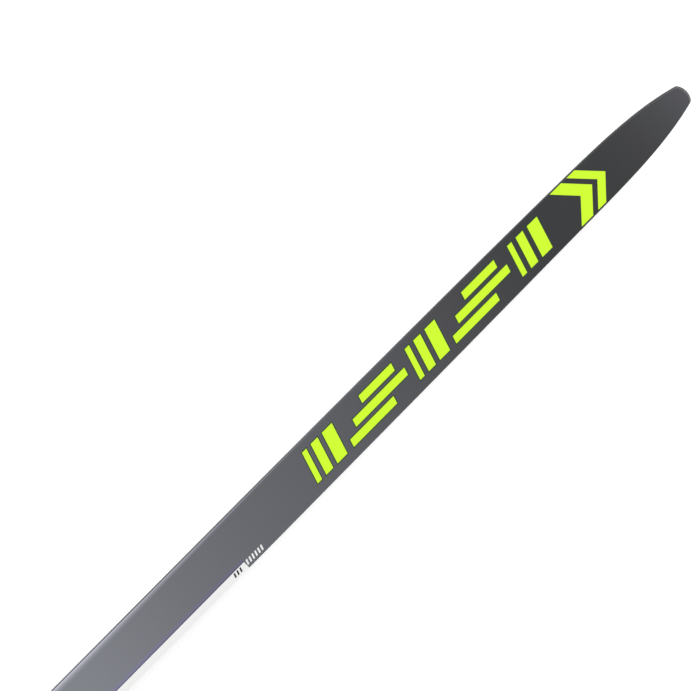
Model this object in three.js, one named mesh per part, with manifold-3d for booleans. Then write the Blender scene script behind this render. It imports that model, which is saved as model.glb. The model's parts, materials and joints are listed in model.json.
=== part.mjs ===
// A cross-country skating ski with a turn-lock toe binding and a heel plate on glued rails.
// Millimetres, +Z up. +X points to the ski's tip and +Y to its left. The origin is at the middle
// of the ski's length, on the floor: the unloaded ski stands on two flats and arches between them.

import * as THREE from "three";
import { mergeVertices } from "three/addons/utils/BufferGeometryUtils.js";
import Module from "manifold-3d";

const wasm = await Module();
wasm.setup();

// ---- Driving dimensions of the ski ----

const SKI_LENGTH = 1860;
const TIP_X = SKI_LENGTH / 2;
const TAIL_X = -SKI_LENGTH / 2;

const WAIST_HALF = 22; // half width from the binding to the tail
const SIDECUT = 1.9; // how much narrower each side is at the shovel
const SIDECUT_LENGTH = 570;
const SIDECUT_POWER = 3.5;
const TIP_TAPER = 137; // the stretch that narrows to the tip
const TIP_DROP = 10.1;
const TIP_POWER = 4;
const TIP_ROUND = 4;
const TAIL_TAPER = 160;
const TAIL_DROP = 2.2;
const TAIL_ROUND = 9;
const END_HALF = 1.5; // half width of the small flat at each very end

const FRONT_FLAT = [630, 670]; // where the base touches the floor
const REAR_FLAT = [-780, -740];
const PLATFORM = [-375, 115]; // the level stretch under the binding
const CAMBER = 20;
const TIP_RISE = 52;
const TIP_CURVE = 2.4;
const TAIL_RISE = 13;
const TAIL_CURVE = 2;

const PLATFORM_THICKNESS = 26;
const SHOVEL_THICKNESS = 8.5;
const TIP_THICKNESS = 5.6;
const TAIL_THICKNESS = 6.4;
const FRONT_THIN_X = 700; // where the ski stops thinning quickly
const REAR_THIN_X = -800;

const GLUE = 0.1; // resin line between two layers
const BUTT_GAP = 0.3; // resin line between two pieces end to end
const BASE_THICKNESS = 1.6;
const LAMINATE_THICKNESS = 0.7;
const TOP_THICKNESS = 1;
const TOP_BEVEL = 1.6; // width of the top sheet's sloping edge
const TOP_LIP = 0.2; // share of the top sheet's thickness left at its outer edge
const GROOVE_HALF = 4.2;
const GROOVE_FLOOR_HALF = 3.2;
const GROOVE_DEPTH = 1;
const GROOVE_FADE = 60; // the stretch over which the groove runs out
const GROOVE_ENDS = [-850, 780];

const SIDEWALL_WIDTH = 2.6;
const STRINGER_INNER = 10; // side stringers start here, from the centre line
const CENTRE_HALF = 6;
const CORE_ENDS = [-800, 790];
const STRINGER_ENDS = [-560, 560];
const PROTECTOR_X = -918; // front of the tail protector

// ---- Driving dimensions of the binding, from the boot's toe bar and the ski's top ----

const TOE_BAR_X = -40;
const HEEL_X = TOE_BAR_X - 250;

const RAIL = { stemHalf: 11, flangeHalf: 15, bottom: 0.1, step: 2.2, top: 4 };
const FRONT_RAIL = [-115, 104];
const REAR_RAIL = [-62, 62];

const SLED = { half: 21, bottom: 0.6, bed: 7.5, chamfer: 1.5 };
const SLED_PLAY = 0.5; // clearance between a sled and its rail
const TOE_SLED = [-135, 84];
const HEEL_SLED = [-68, 50];
const RIDGE = { inner: 5.5, outer: 11, taper: 0.8, top: 13, sunk: 0.5 };
const TOE_RIDGE = [-130, -20];
const HEEL_RIDGE = [-60, -22];
const HEEL_PAD = { x: [-16, 44], half: 17, depth: 1.2, top: 9.4 };

const BAR_NOTCH_HALF = 2.3; // the notch takes a toe bar 4 mm thick
const BAR_SEAT = 8.9;
const HOOK = { half: 8, bottom: 7.8, wall: 3.7, front: 12.9, rear: 17, foot: 15, footTop: 9.6 };
const HOOK_SCREW = { x: -10.6, y: 4.6, head: 2.4, shank: 1.2, seat: HOOK.footTop + 0.1, tip: 4.9, top: 11 };

const FLEXOR = { x: [11, 24.4], half: 16, top: 20.5, slope: [5, 6], peg: 2, pegY: 13.6, pegBottom: 4.8 };

const NOSE = { rear: 25, front: 84, half: 21, bottom: 7.6, top: 21.5, brow: 12, crest: 64 };
const NOSE_SCREW = { x: 32, y: 17.6, head: 2.5, shank: 1.2, seat: 12, tip: 2.4, top: 14 };
const SLIDER = { bottom: 13.2, top: 16.2, tip: -2, shoulder: 28, end: 50, tipHalf: 7, half: 11 };

const DIAL_X = 46;
const CRANK_THROW = 5;
const CRANK_REST = (3 * Math.PI) / 4; // the crank pin's angle at rest, from +X
const CRANK = { pin: 1.5, bottom: 13.5, flange: 8.5, under: 16.8, over: 18.2, shaft: 6, top: 21.8 };
const DIAL = { radius: 13.5, bottom: 22.1, top: 26, bar: [12, 2.7, 29] };
const DIAL_SCREW = { head: 2.2, shank: 1.2, seat: 27, tip: 18, top: 28.8 };

const LEVER_PIN = { x: 72, z: 12, radius: 1.5, half: 12.5 };
const LEVER_HALF = 8;
const LEVER_SLOT = [66.6, 80];

const FIT = 0.3; // clearance round moving and bolted pieces
const SOCKET_DEPTH = 0.9; // hexagon sockets of the screws
const ROUND_SIDES = 24;
const PIN_SIDES = 12;

// ---- Shape of the ski ----

const unit = (t) => THREE.MathUtils.clamp(t, 0, 1);
const ease = (t) => THREE.MathUtils.smoothstep(t, 0, 1);
const mix = THREE.MathUtils.lerp;
const middle = ([from, to]) => (from + to) / 2;

// Half of an ellipse: 0 at an end of the ski, 1 from length on.
const roundEnd = (distance, length) => Math.sqrt(1 - (1 - unit(distance / length)) ** 2);

function halfWidth(x) {
  const fromTip = TIP_X - x;
  const fromTail = x - TAIL_X;
  const cut = SIDECUT * Math.max(0, 1 - (fromTip - TIP_TAPER) / SIDECUT_LENGTH) ** SIDECUT_POWER;
  const tip = TIP_DROP * Math.max(0, 1 - fromTip / TIP_TAPER) ** TIP_POWER;
  const tail = TAIL_DROP * Math.max(0, 1 - fromTail / TAIL_TAPER) ** 2;
  const rounding = roundEnd(fromTip, TIP_ROUND) * roundEnd(fromTail, TAIL_ROUND);
  return Math.max(END_HALF, (WAIST_HALF - cut - tip - tail) * rounding);
}

// Height of the running surface over the floor.
function baseHeight(x) {
  if (x > FRONT_FLAT[1]) {
    return TIP_RISE * ((x - FRONT_FLAT[1]) / (TIP_X - FRONT_FLAT[1])) ** TIP_CURVE;
  }
  if (x < REAR_FLAT[0]) {
    return TAIL_RISE * ((REAR_FLAT[0] - x) / (REAR_FLAT[0] - TAIL_X)) ** TAIL_CURVE;
  }
  const front = (FRONT_FLAT[0] - x) / (FRONT_FLAT[0] - PLATFORM[1]);
  const rear = (x - REAR_FLAT[1]) / (PLATFORM[0] - REAR_FLAT[1]);
  return CAMBER * ease(unit(Math.min(front, rear)));
}

function baseSlope(x) {
  const step = 0.01;
  return (baseHeight(x + step) - baseHeight(x - step)) / (2 * step);
}

function thickness(x) {
  const front = ease(unit((x - PLATFORM[1]) / (FRONT_THIN_X - PLATFORM[1])));
  const rear = ease(unit((PLATFORM[0] - x) / (PLATFORM[0] - REAR_THIN_X)));
  const tip = (SHOVEL_THICKNESS - TIP_THICKNESS) * unit((x - FRONT_THIN_X) / (TIP_X - FRONT_THIN_X)) ** 2;
  const tail = (SHOVEL_THICKNESS - TAIL_THICKNESS) * unit((REAR_THIN_X - x) / (REAR_THIN_X - TAIL_X)) ** 2;
  return mix(PLATFORM_THICKNESS, SHOVEL_THICKNESS, Math.max(front, rear)) - tip - tail;
}

// The point of the ski at station x, across it by y and above its running surface by lift.
function onSki(x, y, lift) {
  const slope = baseSlope(x);
  const length = Math.hypot(1, slope);
  return [x - (lift * slope) / length, y, baseHeight(x) + lift / length];
}

// count stations from one place up to, but not including, the next.
const spread = (from, to, count, pace = (t) => t) =>
  Array.from({ length: count }, (_, i) => mix(from, to, pace(i / count)));

const STATIONS = [
  ...spread(TAIL_X, TAIL_X + TAIL_ROUND, 4, (t) => t * t),
  ...spread(TAIL_X + TAIL_ROUND, REAR_FLAT[0], 5),
  ...spread(REAR_FLAT[0], REAR_FLAT[1], 1),
  ...spread(REAR_FLAT[1], PLATFORM[0], 10),
  ...spread(PLATFORM[0], PLATFORM[1], 3),
  ...spread(PLATFORM[1], FRONT_FLAT[0], 12),
  ...spread(FRONT_FLAT[0], FRONT_FLAT[1], 1),
  ...spread(FRONT_FLAT[1], TIP_X - TIP_TAPER, 5),
  ...spread(TIP_X - TIP_TAPER, TIP_X - TIP_ROUND, 11, (t) => 1 - (1 - t) ** 1.4),
  ...spread(TIP_X - TIP_ROUND, TIP_X, 4, (t) => 1 - (1 - t) ** 2),
  TIP_X,
];

const stationsBetween = (from, to) => [from, ...STATIONS.filter((x) => x > from + 1e-6 && x < to - 1e-6), to];

// ---- Solids ----

const shapeOf = (points) => new THREE.Shape(points.map(([a, b]) => new THREE.Vector2(a, b)));

// A layer of the ski. section is its outline as [across, share of the layer's thickness] pairs,
// drawn for the waist. It narrows with the ski, and floor and roof give its height at each station.
// An end between two stations lies on the straight line that its neighbours follow there.
function layer(section, from, to, floor, roof) {
  const at = (x, across, share) =>
    new THREE.Vector3(...onSki(x, (across * halfWidth(x)) / WAIST_HALF, mix(floor(x), roof(x), share)));
  const place = (x, across, share) => {
    const next = STATIONS.findIndex((station) => station >= x);
    const [before, after] = [STATIONS[Math.max(0, next - 1)], STATIONS[next]];
    if (x === after) return at(x, across, share);
    return at(before, across, share).lerp(at(after, across, share), (x - before) / (after - before));
  };
  const xs = stationsBetween(from, to);
  const steps = xs.length - 1;
  const geometry = new THREE.ExtrudeGeometry(shapeOf(section), { depth: steps, steps, bevelEnabled: false });
  const position = geometry.getAttribute("position");
  for (let i = 0; i < position.count; i++) {
    const point = place(xs[Math.round(position.getZ(i))], position.getX(i), position.getY(i));
    position.setXYZ(i, point.x, point.y, point.z);
  }
  return geometry;
}

// A section symmetric about the ski's middle, given by its right half from the bottom up.
const mirrored = (right) => [...right, ...right.map(([across, up]) => [-across, up]).reverse()];

// A plan symmetric about the ski's middle, given by its right half from the rear.
const evenPlan = (right) => [...right, ...right.map(([along, across]) => [along, -across]).reverse()];

const block = (left, right) => [[right, 0], [left, 0], [left, 1], [right, 1]];

// An outline of [across, up] pairs, drawn along the ski from x = from to x = to.
function alongX(points, [from, to]) {
  const geometry = new THREE.ExtrudeGeometry(shapeOf(points), { depth: to - from, bevelEnabled: false });
  const turn = new THREE.Matrix4().makeBasis(
    new THREE.Vector3(0, 1, 0),
    new THREE.Vector3(0, 0, 1),
    new THREE.Vector3(1, 0, 0),
  );
  return geometry.applyMatrix4(turn).translate(from, 0, 0);
}

// A side view of [along, up] pairs or a Shape, drawn across the ski to half on each side.
function acrossY(view, half) {
  const shape = Array.isArray(view) ? shapeOf(view) : view;
  const options = { depth: 2 * half, bevelEnabled: false, curveSegments: 6 };
  return new THREE.ExtrudeGeometry(shape, options).rotateX(Math.PI / 2).translate(0, half, 0);
}

// A plan of [along, across] pairs or a Shape, drawn upwards from bottom to top.
function upZ(plan, bottom, top) {
  const shape = Array.isArray(plan) ? shapeOf(plan) : plan;
  const options = { depth: top - bottom, bevelEnabled: false, curveSegments: 6 };
  return new THREE.ExtrudeGeometry(shape, options).translate(0, 0, bottom);
}

const box = ([x0, x1], [y0, y1], [z0, z1]) =>
  new THREE.BoxGeometry(x1 - x0, y1 - y0, z1 - z0).translate((x0 + x1) / 2, (y0 + y1) / 2, (z0 + z1) / 2);

// A turned piece about Z: its [radius, height] pairs run from its lowest point to its highest.
const turned = (points, sides = ROUND_SIDES) =>
  new THREE.LatheGeometry(points.map(([r, z]) => new THREE.Vector2(r, z)), sides).rotateX(Math.PI / 2);

const rod = (radius, bottom, top, sides = ROUND_SIDES) =>
  turned([[0, bottom], [radius, bottom], [radius, top], [0, top]], sides);

// A rod about Y, centred on y = 0.
const crossRod = (radius, half, sides = PIN_SIDES) => rod(radius, -half, half, sides).rotateX(Math.PI / 2);

function solidOf(geometry) {
  const bare = new THREE.BufferGeometry().setAttribute("position", geometry.getAttribute("position").clone());
  if (geometry.index) bare.setIndex(geometry.index.clone());
  const merged = mergeVertices(bare, 1e-4);
  const corners = merged.index.array;
  const kept = [];
  for (let i = 0; i < corners.length; i += 3) {
    const [a, b, c] = corners.slice(i, i + 3);
    if (a !== b && b !== c && c !== a) kept.push(a, b, c);
  }
  const vertProperties = merged.getAttribute("position").array;
  return new wasm.Manifold(new wasm.Mesh({ numProp: 3, vertProperties, triVerts: new Uint32Array(kept) }));
}

function geometryOf(solid) {
  const mesh = solid.getMesh();
  return new THREE.BufferGeometry()
    .setAttribute("position", new THREE.BufferAttribute(new Float32Array(mesh.vertProperties), 3))
    .setIndex(new THREE.BufferAttribute(mesh.triVerts, 1));
}

const joined = (...geometries) =>
  geometryOf(geometries.map(solidOf).reduce((all, solid) => all.add(solid)));
const cut = (geometry, ...tools) =>
  geometryOf(tools.map(solidOf).reduce((left, tool) => left.subtract(tool), solidOf(geometry)));
const common = (a, b) => geometryOf(solidOf(a).intersect(solidOf(b)));

// ---- Materials ----

const material = (color, roughness, metalness = 0) =>
  new THREE.MeshStandardMaterial({ color, roughness, metalness });
const paint = {
  base: material(0x18191b, 0.45),
  laminate: material(0x2b2d2f, 0.6),
  top: material(0x55575b, 0.35),
  sidewall: material(0x3a3c40, 0.45),
  filler: material(0x2a2a2c, 0.6),
  protector: material(0x222326, 0.5),
  spruce: material(0xcaa876, 0.7),
  beech: material(0xb98a5e, 0.7),
  rail: material(0x202124, 0.5),
  housing: material(0x26272a, 0.5),
  accent: material(0xc8f528, 0.4),
  rubber: material(0x151515, 0.85),
  steel: material(0xb4b7ba, 0.3, 1),
};

const ski = new THREE.Group();
const toeUnit = new THREE.Group();
const heelUnit = new THREE.Group();

function add(group, name, geometry, finish) {
  const mesh = new THREE.Mesh(geometry, finish);
  mesh.name = name;
  group.add(mesh);
}

// ---- Ski: layers from the running surface up ----

const laminateFloor = () => BASE_THICKNESS + GLUE;
const coreFloor = () => laminateFloor() + LAMINATE_THICKNESS + GLUE;
const topFloor = (x) => thickness(x) - TOP_THICKNESS;
const upperFloor = (x) => topFloor(x) - GLUE - LAMINATE_THICKNESS;
const coreRoof = (x) => upperFloor(x) - GLUE;
const LAYERS_TAIL = PROTECTOR_X + BUTT_GAP;

const whole = block(-WAIST_HALF, WAIST_HALF);
const inside = WAIST_HALF - SIDEWALL_WIDTH - BUTT_GAP; // where the core starts, inside the sidewalls

function baseSheet() {
  const section = [[GROOVE_HALF, 0], [-GROOVE_HALF, 0], [-GROOVE_FLOOR_HALF, 1], [GROOVE_FLOOR_HALF, 1]];
  const deep = (x) => ease(unit(Math.min(x - GROOVE_ENDS[0], GROOVE_ENDS[1] - x) / GROOVE_FADE));
  // It starts and ends just below the sheet, so that it runs out without a step.
  const groove = layer(section, ...GROOVE_ENDS, () => -0.3, (x) => mix(-0.1, GROOVE_DEPTH, deep(x)));
  return cut(layer(whole, LAYERS_TAIL, TIP_X, () => 0, () => BASE_THICKNESS), groove);
}

function topSheet() {
  const flat = WAIST_HALF - TOP_BEVEL;
  const section = mirrored([[WAIST_HALF, 0], [WAIST_HALF, TOP_LIP], [flat, 1]]);
  return layer(section, LAYERS_TAIL, TIP_X, topFloor, thickness);
}

const lowerRoof = () => laminateFloor() + LAMINATE_THICKNESS;
const upperRoof = (x) => topFloor(x) - GLUE;
add(ski, "base_sheet", baseSheet(), paint.base);
add(ski, "lower_laminate", layer(whole, LAYERS_TAIL, TIP_X, laminateFloor, lowerRoof), paint.laminate);
add(ski, "upper_laminate", layer(whole, LAYERS_TAIL, TIP_X, upperFloor, upperRoof), paint.laminate);
add(ski, "top_sheet", topSheet(), paint.top);

// A piece between the two laminates.
const corePiece = (left, right, from, to) => layer(block(left, right), from, to, coreFloor, coreRoof);

for (const [side, name] of [[1, "left"], [-1, "right"]]) {
  const between = (inner, outer, from, to) =>
    corePiece(Math.min(side * inner, side * outer), Math.max(side * inner, side * outer), from, to);
  const insert = between(CENTRE_HALF + BUTT_GAP, STRINGER_INNER - BUTT_GAP, ...PLATFORM);
  const sidewall = between(WAIST_HALF - SIDEWALL_WIDTH, WAIST_HALF, ...CORE_ENDS);
  add(ski, `sidewall_${name}`, sidewall, paint.sidewall);
  add(ski, `core_stringer_${name}`, between(STRINGER_INNER, inside, ...STRINGER_ENDS), paint.spruce);
  add(ski, `core_insert_${name}`, insert, paint.beech);
}
add(ski, "core_stringer_centre", corePiece(-CENTRE_HALF, CENTRE_HALF, ...STRINGER_ENDS), paint.spruce);
add(ski, "core_front", corePiece(-inside, inside, STRINGER_ENDS[1] + BUTT_GAP, CORE_ENDS[1]), paint.spruce);
add(ski, "core_rear", corePiece(-inside, inside, CORE_ENDS[0], STRINGER_ENDS[0] - BUTT_GAP), paint.spruce);
add(ski, "tip_filler", corePiece(-WAIST_HALF, WAIST_HALF, CORE_ENDS[1] + BUTT_GAP, TIP_X), paint.filler);
const tailFiller = corePiece(-WAIST_HALF, WAIST_HALF, LAYERS_TAIL, CORE_ENDS[0] - BUTT_GAP);
add(ski, "tail_filler", tailFiller, paint.filler);
add(ski, "tail_protector", layer(whole, TAIL_X, PROTECTOR_X, () => 0, thickness), paint.protector);

// ---- Binding: everything from here on is drawn from the ski's level top, x from the toe bar ----

const railSection = mirrored([
  [RAIL.stemHalf, RAIL.bottom],
  [RAIL.stemHalf, RAIL.step],
  [RAIL.flangeHalf, RAIL.step],
  [RAIL.flangeHalf, RAIL.top],
]);

// A sled wraps round the rail's flange and slides along it.
function sled(ends, ridge, ridgeTop) {
  const roof = RAIL.top + SLED_PLAY;
  const lip = RAIL.step - SLED_PLAY;
  const inner = [
    [RAIL.flangeHalf + SLED_PLAY, roof],
    [RAIL.flangeHalf + SLED_PLAY, lip],
    [RAIL.stemHalf + SLED_PLAY, lip],
    [RAIL.stemHalf + SLED_PLAY, SLED.bottom],
  ];
  const outer = [
    [SLED.half, SLED.bottom],
    [SLED.half, SLED.bed - SLED.chamfer],
    [SLED.half - SLED.chamfer, SLED.bed],
  ];
  const ridges = [-1, 1].map((side) => {
    const points = [
      [RIDGE.inner, SLED.bed - RIDGE.sunk],
      [RIDGE.outer, SLED.bed - RIDGE.sunk],
      [RIDGE.outer - RIDGE.taper, ridgeTop],
      [RIDGE.inner + RIDGE.taper, ridgeTop],
    ];
    return alongX(points.map(([across, up]) => [side * across, up]), ridge);
  });
  return joined(alongX(mirrored([...inner, ...outer]), ends), ...ridges);
}

// An upright screw with a hexagon socket in its head.
function screw({ head, shank, seat, tip, top }) {
  const body = turned([[0, tip], [shank, tip], [shank, seat], [head, seat], [head, top], [0, top]]);
  return cut(body, rod(head / 2, top - SOCKET_DEPTH, top + 1, 6));
}

add(toeUnit, "front_rail", alongX(railSection, FRONT_RAIL), paint.rail);
add(heelUnit, "rear_rail", alongX(railSection, REAR_RAIL), paint.rail);

// The same tool or piece at the left and at the right of the middle.
const bothSides = (geometry, x, y) => [-y, y].map((across) => geometry.clone().translate(x, across, 0));

function toeSled() {
  const well = (radius, bottom) => rod(radius + FIT / 2, bottom, SLED.bed + 1, PIN_SIDES);
  return cut(
    sled(TOE_SLED, TOE_RIDGE, RIDGE.top),
    box(LEVER_SLOT, [-LEVER_HALF - FIT, LEVER_HALF + FIT], [RAIL.top, SLED.bed + 1]),
    ...bothSides(well(HOOK_SCREW.shank, RAIL.top), HOOK_SCREW.x, HOOK_SCREW.y),
    ...bothSides(well(NOSE_SCREW.shank, NOSE_SCREW.tip - FIT), NOSE_SCREW.x, NOSE_SCREW.y),
    ...bothSides(well(FLEXOR.peg, RAIL.top), middle(FLEXOR.x), FLEXOR.pegY),
  );
}

// Steel bracket whose notch holds the boot's toe bar.
function hook() {
  const { bottom, wall, front, rear, foot, footTop, half } = HOOK;
  const outer = BAR_NOTCH_HALF + wall;
  const view = [
    [-foot, bottom],
    [outer, bottom],
    [outer, front],
    [BAR_NOTCH_HALF, front],
    [BAR_NOTCH_HALF, BAR_SEAT],
    [-BAR_NOTCH_HALF, BAR_SEAT],
    [-BAR_NOTCH_HALF, rear - 1],
    [-BAR_NOTCH_HALF - 1, rear],
    [-outer + 1, rear],
    [-outer - 1.5, footTop],
    [-foot, footTop],
  ];
  const hole = rod(HOOK_SCREW.shank + FIT, 0, rear, PIN_SIDES);
  return cut(acrossY(view, half), ...bothSides(hole, HOOK_SCREW.x, HOOK_SCREW.y));
}

// The room that the slider needs on its way.
const channel = ([from, to]) => {
  const half = SLIDER.half + FIT;
  return box([from, to], [-half, half], [SLIDER.bottom - FIT, SLIDER.top + FIT]);
};

// Rubber block that the boot's toe presses on. Two pegs hold it in the sled.
function flexor() {
  const [rear, front] = FLEXOR.x;
  const bottom = SLED.bed + FIT;
  const { top, half, slope, peg, pegY, pegBottom } = FLEXOR;
  const view = [[rear, bottom], [front, bottom], [front, top], [rear + slope[0], top], [rear, top - slope[1]]];
  const pegs = bothSides(rod(peg, pegBottom, bottom + 1, PIN_SIDES), middle(FLEXOR.x), pegY);
  return cut(joined(acrossY(view, half), ...pegs), channel([rear - 1, front + 1]));
}

// Housing of the lock: it carries the dial and the lever.
function nose() {
  const { rear, front, half, bottom, top, brow, crest } = NOSE;
  const side = acrossY([[rear, bottom], [front, bottom], [front, brow], [crest, top], [rear, top]], half + 1);
  const right = [[rear, -half], [front - 22, -half], [front - 8, -half + 3.5], [front, -half + 8]];
  const plan = upZ(evenPlan(right), 0, top + 1);
  const openEnd = DIAL_X + CRANK_THROW * 2 + 3;
  return cut(
    common(side, plan),
    channel([rear - 1, openEnd]),
    rod(CRANK.flange + FIT, CRANK.under - FIT, CRANK.over + FIT).translate(DIAL_X, 0, 0),
    rod(CRANK.shaft + FIT, CRANK.over, top + 1).translate(DIAL_X, 0, 0),
    box([LEVER_SLOT[0], front + 1], [-LEVER_HALF - FIT, LEVER_HALF + FIT], [0, top + 1]),
    crossRod(LEVER_PIN.radius + FIT / 2, LEVER_PIN.half + FIT).translate(LEVER_PIN.x, 0, LEVER_PIN.z),
    ...bothSides(rod(NOSE_SCREW.shank + FIT, 0, top, PIN_SIDES), NOSE_SCREW.x, NOSE_SCREW.y),
    ...bothSides(rod(NOSE_SCREW.head + FIT, NOSE_SCREW.seat - FIT, top + 1), NOSE_SCREW.x, NOSE_SCREW.y),
  );
}

// Flat latch that closes over the toe bar. The crank pin works in its cross slot.
function slider() {
  const { bottom, top, tip, shoulder, end, tipHalf, half } = SLIDER;
  const nib = [[tip, -tipHalf + 2], [tip + 2, -tipHalf]];
  const right = [...nib, [shoulder - 6, -tipHalf], [shoulder, -half], [end, -half]];
  const plan = upZ(evenPlan(right), bottom, top);
  const [pinX, pinY] = [Math.cos(CRANK_REST) * CRANK_THROW + DIAL_X, Math.sin(CRANK_REST) * CRANK_THROW];
  const room = CRANK.pin + FIT * 1.2;
  return cut(plan, box([pinX - room, pinX + room], [pinY - room, CRANK_THROW + room], [bottom - 1, top + 1]));
}

// Turns under the nose's roof. Its pin stands off the axis and drives the slider.
function crank() {
  const { pin, bottom, flange, under, over, shaft, top } = CRANK;
  const body = turned([[0, under], [flange, under], [flange, over], [shaft, over], [shaft, top], [0, top]]);
  const drive = rod(pin, bottom, under + 0.5, PIN_SIDES).translate(CRANK_THROW, 0, 0).rotateZ(CRANK_REST);
  const bore = rod(DIAL_SCREW.shank + FIT / 2, DIAL_SCREW.tip - FIT, top + 1, PIN_SIDES);
  return cut(joined(body, drive), bore).translate(DIAL_X, 0, 0);
}

// Grip on top of the nose. Its bar lies along the ski when the toe bar is locked.
function dial() {
  const { radius, bottom, top, bar } = DIAL;
  const disc = turned([[0, bottom], [radius, bottom], [radius, top - 1], [radius - 1, top], [0, top]]);
  const grip = box([-bar[0], bar[0]], [-bar[1], bar[1]], [top - 1, bar[2]]);
  const bore = rod(DIAL_SCREW.shank + FIT / 2, bottom - 1, bar[2] + 1, PIN_SIDES);
  const recess = rod(DIAL_SCREW.head + FIT, DIAL_SCREW.seat - FIT, bar[2] + 1);
  return cut(joined(disc, grip), bore, recess).translate(DIAL_X, 0, 0);
}

// Clamp lever, drawn round its pin. Its foot presses on the rail when the lever is down.
function lever() {
  const view = [
    [-1.3, -7.7],
    [1.3, -7.7],
    [2.5, -3.4],
    [12, -3.4],
    [18.5, -2.6],
    [19.5, -0.5],
    [12, 0.6],
    [2.5, 4.6],
    [-2, 4.6],
    [-4.5, 2],
    [-4.5, -2],
    [-2.2, -3.6],
  ];
  const bore = crossRod(LEVER_PIN.radius + FIT, LEVER_HALF + 1);
  return cut(acrossY(view, LEVER_HALF), bore).translate(LEVER_PIN.x, 0, LEVER_PIN.z);
}

add(toeUnit, "toe_sled", toeSled(), paint.housing);
add(toeUnit, "hook", hook(), paint.steel);
add(toeUnit, "flexor", flexor(), paint.rubber);
add(toeUnit, "nose", nose(), paint.housing);
add(toeUnit, "slider", slider(), paint.steel);
add(toeUnit, "crank", crank(), paint.steel);
add(toeUnit, "dial", dial(), paint.accent);
add(toeUnit, "dial_screw", screw(DIAL_SCREW).translate(DIAL_X, 0, 0), paint.steel);
add(toeUnit, "lever", lever(), paint.accent);
const leverPin = crossRod(LEVER_PIN.radius, LEVER_PIN.half).translate(LEVER_PIN.x, 0, LEVER_PIN.z);
add(toeUnit, "lever_pin", leverPin, paint.steel);
for (const [side, name] of [[1, "left"], [-1, "right"]]) {
  const placed = (size) => screw(size).translate(size.x, side * size.y, 0);
  add(toeUnit, `hook_screw_${name}`, placed(HOOK_SCREW), paint.steel);
  add(toeUnit, `nose_screw_${name}`, placed(NOSE_SCREW), paint.steel);
}

function heelSled() {
  const pocket = box(HEEL_PAD.x, [-HEEL_PAD.half, HEEL_PAD.half], [SLED.bed - HEEL_PAD.depth, SLED.bed + 1]);
  return cut(sled(HEEL_SLED, HEEL_RIDGE, RIDGE.top - 2), pocket);
}

function heelPad() {
  const [rear, front] = [HEEL_PAD.x[0] + FIT, HEEL_PAD.x[1] - FIT];
  const half = HEEL_PAD.half - FIT;
  const bottom = SLED.bed - HEEL_PAD.depth + 0.1;
  return box([rear, front], [-half, half], [bottom, HEEL_PAD.top]);
}

add(heelUnit, "heel_sled", heelSled(), paint.housing);
add(heelUnit, "heel_pad", heelPad(), paint.rubber);

toeUnit.position.set(TOE_BAR_X, 0, CAMBER + PLATFORM_THICKNESS);
heelUnit.position.set(HEEL_X, 0, CAMBER + PLATFORM_THICKNESS);
ski.add(toeUnit, heelUnit);

export default ski;
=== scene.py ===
# Looks of the cross-country ski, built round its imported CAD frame. Metres, +X to the tip, +Y to the
# ski's left, +Z up.

import json
import math

import bmesh
import bpy
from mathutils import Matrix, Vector

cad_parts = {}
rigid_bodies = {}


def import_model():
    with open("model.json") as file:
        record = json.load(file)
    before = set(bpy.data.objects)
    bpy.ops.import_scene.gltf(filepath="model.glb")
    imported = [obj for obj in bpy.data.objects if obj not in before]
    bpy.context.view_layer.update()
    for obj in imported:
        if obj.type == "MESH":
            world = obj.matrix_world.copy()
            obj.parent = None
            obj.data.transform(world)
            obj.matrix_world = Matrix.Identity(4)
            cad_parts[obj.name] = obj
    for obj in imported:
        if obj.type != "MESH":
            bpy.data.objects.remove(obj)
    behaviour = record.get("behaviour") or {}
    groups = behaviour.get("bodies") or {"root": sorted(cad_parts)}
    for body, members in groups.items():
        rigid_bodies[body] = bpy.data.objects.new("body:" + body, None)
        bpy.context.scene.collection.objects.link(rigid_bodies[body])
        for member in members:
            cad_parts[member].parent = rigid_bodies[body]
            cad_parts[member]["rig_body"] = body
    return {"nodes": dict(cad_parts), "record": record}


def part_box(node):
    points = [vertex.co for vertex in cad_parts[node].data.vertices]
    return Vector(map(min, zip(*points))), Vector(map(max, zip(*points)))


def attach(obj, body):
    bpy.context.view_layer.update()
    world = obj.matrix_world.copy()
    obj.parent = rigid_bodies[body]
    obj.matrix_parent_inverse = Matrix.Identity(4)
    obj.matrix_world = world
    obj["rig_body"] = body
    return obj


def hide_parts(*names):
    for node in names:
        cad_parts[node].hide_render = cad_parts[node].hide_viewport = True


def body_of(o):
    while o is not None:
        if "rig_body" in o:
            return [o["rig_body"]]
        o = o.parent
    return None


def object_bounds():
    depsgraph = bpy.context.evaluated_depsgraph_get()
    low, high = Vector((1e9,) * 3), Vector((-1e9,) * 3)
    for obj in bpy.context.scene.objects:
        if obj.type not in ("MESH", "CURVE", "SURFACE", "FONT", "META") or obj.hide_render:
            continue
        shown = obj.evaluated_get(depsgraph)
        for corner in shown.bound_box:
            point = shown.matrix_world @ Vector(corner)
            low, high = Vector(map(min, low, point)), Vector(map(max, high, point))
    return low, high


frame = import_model()
cad_box = [list(corner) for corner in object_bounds()]
MM = 0.001

# ---- The ski's curves, as in the CAD, in millimetres ----

TIP, TAIL = 930.0, -930.0
WAIST_HALF = 22.0  # half width from the binding to the tail
SIDECUT, SIDECUT_LENGTH, SIDECUT_POWER = 1.9, 570.0, 3.5
TIP_TAPER, TIP_DROP, TIP_POWER, TIP_ROUND = 137.0, 10.1, 4, 4.0
TAIL_TAPER, TAIL_DROP, TAIL_ROUND = 160.0, 2.2, 9.0
END_HALF = 1.5  # half width of the small flat at each very end

FRONT_FLAT, REAR_FLAT = (630.0, 670.0), (-780.0, -740.0)  # where the base touches the floor
PLATFORM = (-375.0, 115.0)  # the level stretch under the binding
CAMBER = 20.0
TIP_RISE, TIP_CURVE = 52.0, 2.4
TAIL_RISE, TAIL_CURVE = 13.0, 2

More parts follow.
